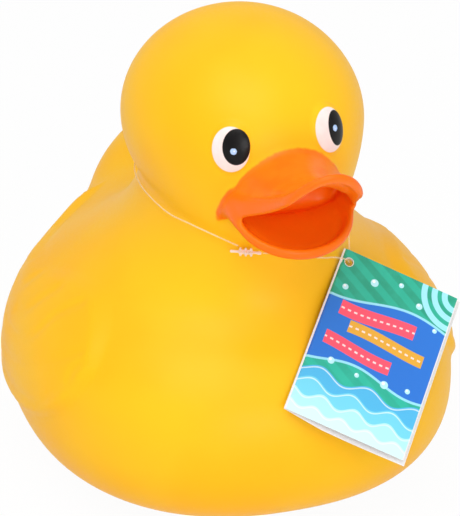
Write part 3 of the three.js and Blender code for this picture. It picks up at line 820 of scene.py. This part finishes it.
class Shader:
    """A material being built: each method adds a node and returns its output."""

    def __init__(self, name):
        self.material = bpy.data.materials.new(name)
        self.material.use_nodes = True
        self.tree = self.material.node_tree
        self.tree.nodes.clear()

    def node(self, kind, inputs, **settings):
        node = self.tree.nodes.new(kind)
        for name, value in settings.items():
            setattr(node, name, value)
        for name, value in inputs.items():
            self.feed(node.inputs[name], value)
        return node

    def feed(self, socket, value):
        if isinstance(value, bpy.types.NodeSocket):
            self.tree.links.new(value, socket)
        elif isinstance(value, tuple) and socket.type == "RGBA":
            socket.default_value = (*value, 1)
        else:
            socket.default_value = value

    def place(self):
        return self.node("ShaderNodeTexCoord", {}).outputs["Object"]

    def attribute(self, name):
        return self.node("ShaderNodeAttribute", {}, attribute_name=name).outputs["Fac"]

    def noise(self, size, detail=3, stretch=(1, 1, 1)):
        """Noise from 0 to 1 with features of about that size in millimetres."""
        where = self.node("ShaderNodeMapping", {"Vector": self.place(), "Scale": stretch})
        inputs = {"Vector": where.outputs[0], "Scale": 1 / (size * MM), "Detail": detail}
        return self.node("ShaderNodeTexNoise", inputs).outputs["Fac"]

    def math(self, operation, a, b=0.0):
        return self.node("ShaderNodeMath", {0: a, 1: b}, operation=operation).outputs[0]

    def ramp(self, value, low, high, out_low=0.0, out_high=1.0):
        inputs = {
            "Value": value, "From Min": low, "From Max": high, "To Min": out_low, "To Max": out_high,
        }
        return self.node("ShaderNodeMapRange", inputs, interpolation_type="SMOOTHSTEP").outputs[0]

    def inside(self, distance, soft):
        """1 where a signed distance is negative, falling to 0 over the soft width."""
        return self.ramp(distance, -soft, soft, 1.0, 0.0)

    def mix(self, share, a, b):
        node = self.node("ShaderNodeMix", {0: share}, data_type="RGBA")
        self.feed(node.inputs[6], a)
        self.feed(node.inputs[7], b)
        return node.outputs[2]

    def mottle(self, size, detail, a, b, low=0.3, high=0.7):
        """Two colours in soft patches of about that size in millimetres."""
        return self.mix(self.ramp(self.noise(size, detail), low, high), a, b)

    def bump(self, height, distance, strength=1.0):
        inputs = {"Height": height, "Distance": distance * MM, "Strength": strength}
        return self.node("ShaderNodeBump", inputs).outputs["Normal"]

    def surface(self, **inputs):
        named = {name.replace("_", " "): value for name, value in inputs.items()}
        shader = self.node("ShaderNodeBsdfPrincipled", named)
        output = self.node("ShaderNodeOutputMaterial", {})
        self.tree.links.new(shader.outputs[0], output.inputs["Surface"])
        return self.material


def vinyl_material():
    shader = Shader("painted_vinyl")
    grain = shader.noise(1.4, 4)
    pores = shader.noise(0.45, 2)
    yellow = shader.mottle(60, 2, (0.99, 0.49, 0.004), (0.99, 0.53, 0.008), 0.35, 0.65)
    yellow = shader.mix(shader.ramp(grain, 0.55, 0.8, 0.0, 0.12), yellow, (0.99, 0.57, 0.015))

    spray = shader.math("MULTIPLY_ADD", shader.noise(2.5, 2), 0.7)
    shader.feed(spray.node.inputs[2], shader.math("ADD", shader.attribute("bill"), -0.35))
    bill = shader.inside(spray, 0.4)
    orange = shader.mottle(9, 2, (0.99, 0.185, 0.003), (0.99, 0.215, 0.005), 0.35, 0.65)
    # Painted light: along the lips' rounded edges the orange turns deeper, standing for how the light
    # falls on the rims.
    rim = shader.ramp(shader.attribute("rim"), 2.6, 4.2, 1.0, 0.0)
    orange = shader.mix(rim, orange, (0.99, 0.165, 0.003))
    # Painted light: inside the mouth the orange is set flat at full strength, to stand for light
    # through the vinyl that brightens the recess.
    mouth = shader.inside(shader.attribute("mouth"), 0.8)
    orange = shader.mix(shader.math("MULTIPLY", mouth, 0.85), orange, (1.0, 0.20, 0.003))
    colour = shader.mix(bill, yellow, orange)

    white = shader.inside(shader.attribute("white"), 0.16)
    pupil = shader.inside(shader.attribute("pupil"), 0.14)
    glint = shader.inside(shader.attribute("glint"), 0.16)
    eye_white = shader.mottle(5, 2, (0.90, 0.74, 0.70), (0.93, 0.80, 0.76))
    black = shader.mottle(3, 2, (0.003, 0.002, 0.002), (0.006, 0.005, 0.005))
    colour = shader.mix(white, colour, eye_white)
    colour = shader.mix(pupil, colour, black)
    colour = shader.mix(glint, colour, (0.42, 0.60, 0.90))
    core = shader.inside(shader.math("ADD", shader.attribute("glint"), 0.75), 0.16)
    colour = shader.mix(core, colour, (0.95, 0.97, 1.0))

    rough = shader.ramp(grain, 0.3, 0.7, 0.40, 0.48)
    rough = shader.math("SUBTRACT", rough, shader.math("MULTIPLY", bill, 0.08))
    rough = shader.math("SUBTRACT", rough, shader.math("MULTIPLY", white, 0.12))
    skin = shader.math("ADD", shader.math("MULTIPLY", grain, 0.6), shader.math("MULTIPLY", pores, 0.4))
    return shader.surface(
        Base_Color=colour, Roughness=rough, Normal=shader.bump(skin, 0.04, 0.6),
        Subsurface_Weight=0.06, Subsurface_Radius=(1.0, 0.45, 0.12), Subsurface_Scale=0.005,
        Specular_IOR_Level=0.2,
    )


def ripple(shader, x, level, height, length, phase):
    """Height of a sine edge over x, in millimetres."""
    swing = shader.math("SINE", shader.math("ADD", shader.math("DIVIDE", x, length), phase))
    return shader.math("ADD", shader.math("MULTIPLY", swing, height), level)


def disc(shader, x, y, centre_x, centre_y, radius):
    """Signed distance to a printed disc."""
    dx = shader.math("SUBTRACT", x, centre_x)
    dy = shader.math("SUBTRACT", y, centre_y)
    square = shader.math("ADD", shader.math("MULTIPLY", dx, dx), shader.math("MULTIPLY", dy, dy))
    return shader.math("SUBTRACT", shader.math("SQRT", square), radius)


# Half the width over which one printed colour turns into the next
SHARP = 0.12
WATER = [
    dict(level=-17, height=2.0, length=3.4, phase=0.4, colour=(0.07, 0.47, 0.80)),
    dict(level=-22.5, height=1.8, length=2.8, phase=2.1, colour=(0.16, 0.66, 0.86)),
    dict(level=-28, height=1.6, length=2.3, phase=0.9, colour=(0.42, 0.83, 0.93)),
    dict(level=-33.5, height=1.2, length=1.9, phase=3.0, colour=(0.64, 0.90, 0.95)),
]
POOL_TOP = dict(level=20.5, height=3.2, length=11, phase=0.6)
POOL_FOOT = dict(level=-12, height=2.4, length=8, phase=2.2)
POOL_BORDER = 1.1
RINGS = dict(x=26.6, y=38.2, radii=(6, 10.5, 15), half_wide=1.3)
RIBBONS = [
    dict(middle=14, wide=6.5, left=-19, right=14, sway=1.2, phase=0.0, colour=(1.0, 0.085, 0.15)),
    dict(middle=5.5, wide=5.5, left=-13, right=21, sway=1.0, phase=2.4, colour=(0.78, 0.40, 0.03)),
    dict(middle=-3, wide=6, left=-21, right=9, sway=1.2, phase=4.2, colour=(1.0, 0.085, 0.15)),
]
DOTS = [
    (-15, -11, 1.5), (-3, -12.5, 1.0), (9, -11.5, 1.7), (19, -10, 1.1), (-20, 22, 1.3),
    (-9, 29, 1.7), (2, 33, 1.1), (12, 27.5, 1.4), (21.5, 20, 1.0),
]


def print_colour(shader, x, y):
    """The tag's print: a pool over a striped field, rings, stitched ribbons, waves and dots."""
    slant = shader.math("ADD", shader.math("MULTIPLY", x, 0.55), y)
    stripe = shader.math("SINE", shader.math("MULTIPLY", slant, 0.85))
    colour = shader.mix(
        shader.ramp(stripe, -0.35, 0.35), (0.012, 0.33, 0.205), (0.016, 0.43, 0.29),
    )
    colour = shader.mix(shader.ramp(y, -30, 30, 0.45, 0.0), colour, (0.01, 0.55, 0.42))
    worn = shader.ramp(shader.noise(6, 3), 0.35, 0.75, 0.0, 0.3)
    colour = shader.mix(worn, colour, (0.03, 0.52, 0.36))

    over = shader.math("SUBTRACT", y, ripple(shader, x, **POOL_TOP))
    under = shader.math("SUBTRACT", ripple(shader, x, **POOL_FOOT), y)
    pool = shader.math("MAXIMUM", over, under)
    colour = shader.mix(shader.inside(pool, SHARP), colour, (0.30, 0.74, 0.90))
    pool = shader.math("ADD", pool, POOL_BORDER)
    colour = shader.mix(shader.inside(pool, SHARP), colour, (0.012, 0.17, 0.66))
    for radius in RINGS["radii"]:
        from_ring = disc(shader, x, y, RINGS["x"], RINGS["y"], radius)
        from_ring = shader.math("ABSOLUTE", from_ring)
        ring = shader.inside(shader.math("SUBTRACT", from_ring, RINGS["half_wide"]), SHARP)
        colour = shader.mix(ring, colour, (0.34, 0.80, 0.93))

    for ribbon in RIBBONS:
        middle = ripple(shader, x, ribbon["middle"], ribbon["sway"], 9, ribbon["phase"])
        off = shader.math("ABSOLUTE", shader.math("SUBTRACT", y, middle))
        edge = shader.math("SUBTRACT", off, ribbon["wide"] / 2)
        half = (ribbon["right"] - ribbon["left"]) / 2
        from_middle = shader.math("SUBTRACT", x, ribbon["left"] + half)
        ends = shader.math("SUBTRACT", shader.math("ABSOLUTE", from_middle), half)
        shape = shader.inside(shader.math("MAXIMUM", edge, ends), SHARP)
        dashes = shader.math("SINE", shader.math("MULTIPLY", x, 2.2))
        thread = shader.math("MAXIMUM", shader.math("SUBTRACT", off, 0.4), dashes)
        colour = shader.mix(shape, colour, ribbon["colour"])
        thread = shader.math("MULTIPLY", shader.inside(thread, 0.1), shape)
        colour = shader.mix(shader.math("MULTIPLY", thread, 0.8), colour, (0.95, 0.88, 0.86))

    for layer in WATER:
        top = ripple(shader, x, layer["level"], layer["height"], layer["length"], layer["phase"])
        depth = shader.math("SUBTRACT", y, top)
        crest = shader.math("SUBTRACT", shader.math("ABSOLUTE", shader.math("ADD", depth, 0.9)), 0.28)
        colour = shader.mix(shader.inside(depth, SHARP), colour, layer["colour"])
        colour = shader.mix(
            shader.math("MULTIPLY", shader.inside(crest, SHARP), 0.6), colour, (0.85, 0.96, 0.98),
        )

    for centre_x, centre_y, radius in DOTS:
        dot = shader.inside(disc(shader, x, y, centre_x, centre_y, radius), SHARP)
        colour = shader.mix(dot, colour, (0.46, 0.84, 0.92))
        aside = radius * 0.3
        shine = disc(shader, x, y, centre_x - aside, centre_y + aside, radius * 0.4)
        colour = shader.mix(shader.inside(shine, 0.1), colour, (0.93, 0.98, 0.99))
    return colour


def card_material():
    shader = Shader("printed_card")
    x, y = shader.attribute("card_x"), shader.attribute("card_y")
    outside = shader.ramp(shader.attribute("outside"), 0.98, 1.0)
    cut = shader.math("SUBTRACT", 1.0, shader.attribute("cut_edge"))
    hole = disc(
        shader, x, y, CARD_HOLE["from_fold"] - CARD["width"] / 2,
        CARD["height"] / 2 - CARD_HOLE["from_top"], CARD_HOLE["radius"] + 0.25,
    )
    free_edge = shader.math("SUBTRACT", CARD["width"] / 2 - 0.45, x)
    printed = shader.math("MULTIPLY", outside, cut)
    printed = shader.math("MULTIPLY", printed, shader.ramp(hole, -0.1, 0.1))
    printed = shader.math("MULTIPLY", printed, shader.ramp(free_edge, -0.1, 0.1))
    fibres = shader.noise(0.5, 3)
    paper = shader.mix(shader.ramp(fibres, 0.3, 0.7), (0.78, 0.76, 0.75), (0.86, 0.845, 0.835))
    colour = shader.mix(printed, paper, print_colour(shader, x, y))
    rough = shader.ramp(fibres, 0.3, 0.7, 0.6, 0.7)
    rough = shader.math("SUBTRACT", rough, shader.math("MULTIPLY", printed, 0.32))
    return shader.surface(
        Base_Color=colour, Roughness=rough, Normal=shader.bump(fibres, 0.02, 0.5),
        Coat_Weight=0.2, Coat_Roughness=0.15,
    )


def filament_material():
    shader = Shader("clear_nylon")
    colour = shader.mottle(3, 2, (0.98, 0.74, 0.46), (0.99, 0.82, 0.60))
    rough = shader.ramp(shader.noise(0.6, 2), 0.3, 0.7, 0.2, 0.34)
    return shader.surface(
        Base_Color=colour, Roughness=rough, Alpha=0.34, Specular_IOR_Level=0.3,
    )


def lock_material():
    shader = Shader("milky_nylon")
    cloud = shader.noise(1.6, 3)
    colour = shader.mix(shader.ramp(cloud, 0.3, 0.7), (0.97, 0.74, 0.64), (0.98, 0.84, 0.78))
    rough = shader.ramp(shader.noise(0.5, 2), 0.3, 0.7, 0.28, 0.42)
    return shader.surface(
        Base_Color=colour, Roughness=rough, Normal=shader.bump(cloud, 0.05, 0.5),
        Subsurface_Weight=0.3, Subsurface_Radius=(1.0, 0.7, 0.5), Subsurface_Scale=0.002,
        Transmission_Weight=0.15, IOR=1.45,
    )


def moulded_material(name, dark, pale, rough_low, rough_high):
    shader = Shader(name)
    cloud, grain = shader.noise(8, 3), shader.noise(0.5, 3)
    colour = shader.mix(shader.ramp(cloud, 0.3, 0.7), dark, pale)
    return shader.surface(
        Base_Color=colour, Roughness=shader.ramp(grain, 0.3, 0.7, rough_low, rough_high),
        Normal=shader.bump(grain, 0.03, 0.5),
    )


def floor_material():
    """Plain white that keeps a faint shadow, and shows white to the camera and in reflections."""
    shader = Shader("white_sweep")
    paths = shader.node("ShaderNodeLightPath", {})
    seen = shader.math("MAXIMUM", paths.outputs["Is Camera Ray"], paths.outputs["Is Glossy Ray"])
    seen = shader.math("MAXIMUM", seen, paths.outputs["Is Transmission Ray"])
    colour = shader.mottle(4, 2, (0.84, 0.84, 0.84), (0.86, 0.86, 0.86))
    matt = shader.node("ShaderNodeBsdfDiffuse", {"Color": colour, "Roughness": 0.5})
    glow = shader.node("ShaderNodeEmission", {"Color": (1.0, 1.0, 1.0), "Strength": 1.0})
    share = shader.math("MULTIPLY", seen, FLOOR_WHITENESS)
    both = shader.node("ShaderNodeMixShader", {0: share})
    shader.tree.links.new(matt.outputs[0], both.inputs[1])
    shader.tree.links.new(glow.outputs[0], both.inputs[2])
    output = shader.node("ShaderNodeOutputMaterial", {})
    shader.tree.links.new(both.outputs[0], output.inputs["Surface"])
    return shader.material


# Studio

FLOOR_HALF_SIZE = 4.0
FLOOR_DROP = 0.0002
FLOOR_WHITENESS = 0.96
SKY_STRENGTH = 0.66
LAMPS = [
    dict(name="key", place=(-0.35, -0.55, 1.2), target=(0, 0, 0.15), size=(1.0, 1.0), watts=8),
    dict(name="front", place=(-0.05, -1.2, 0.3), target=(0, 0, 0.14), size=(0.5, 0.4), watts=3.4),
]


def make_floor():
    size = FLOOR_HALF_SIZE
    data = bpy.data.meshes.new("studio_floor")
    corners = [(-size, -size, 0), (size, -size, 0), (size, size, 0), (-size, size, 0)]
    data.from_pydata(corners, [], [(0, 1, 2, 3)])
    data.materials.append(floor_material())
    floor = bpy.data.objects.new("studio_floor", data)
    bpy.context.scene.collection.objects.link(floor)
    floor.location.z = -FLOOR_DROP


def make_world():
    """White to the camera, and an even pale sky as light."""
    world = bpy.data.worlds.new("studio")
    bpy.context.scene.world = world
    world.use_nodes = True
    tree = world.node_tree
    tree.nodes.clear()
    paths = tree.nodes.new("ShaderNodeLightPath")
    seen = tree.nodes.new("ShaderNodeMath")
    seen.operation = "MAXIMUM"
    tree.links.new(paths.outputs["Is Camera Ray"], seen.inputs[0])
    tree.links.new(paths.outputs["Is Transmission Ray"], seen.inputs[1])
    strength = tree.nodes.new("ShaderNodeMapRange")
    strength.inputs["To Min"].default_value = SKY_STRENGTH
    strength.inputs["To Max"].default_value = 1.0
    tree.links.new(seen.outputs[0], strength.inputs["Value"])
    background = tree.nodes.new("ShaderNodeBackground")
    background.inputs["Color"].default_value = (1, 1, 1, 1)
    tree.links.new(strength.outputs[0], background.inputs["Strength"])
    output = tree.nodes.new("ShaderNodeOutputWorld")
    tree.links.new(background.outputs[0], output.inputs["Surface"])


def make_lamp(name, place, target, size, watts, colour=(1, 1, 1)):
    data = bpy.data.lights.new(name, "AREA")
    data.shape = "RECTANGLE"
    data.size, data.size_y = size
    data.energy = watts
    data.color = colour
    lamp = bpy.data.objects.new(name, data)
    bpy.context.scene.collection.objects.link(lamp)
    lamp.location = place
    aim = Vector(target) - Vector(place)
    lamp.rotation_euler = aim.to_track_quat("-Z", "Y").to_euler()


def make_studio():
    make_floor()
    make_world()
    for lamp in LAMPS:
        make_lamp(**lamp)
    bpy.context.scene.view_settings.view_transform = "Standard"


# Assembly

make_camera()
loop, loop_length = make_loop()
duck, duck_points = make_duck()
for name, values in paint_values(duck_points).items():
    point_values(duck, name, values)
card = make_card()
lock = make_lock()

for piece, material, slot, node in (
    (duck, vinyl_material(), "yellow_vinyl", "duck_shell"),
    (loop, filament_material(), "clear_nylon", "tag_loop"),
    (card, card_material(), "coated_card", "hang_tag"),
    (lock, lock_material(), "lock_nylon", "tag_loop_lock"),
):
    piece.data.materials.append(material)
    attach(piece, "root")
    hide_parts(node)

housing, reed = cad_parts["squeaker_housing"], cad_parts["squeaker_reed"]
for node, material in (
    (housing, moulded_material("white_plastic", (0.80, 0.79, 0.75), (0.87, 0.86, 0.82), 0.34, 0.46)),
    (reed, moulded_material("reed_plastic", (0.62, 0.66, 0.68), (0.72, 0.75, 0.77), 0.28, 0.4)),
):
    node.data.materials.clear()
    node.data.materials.append(material)

make_studio()
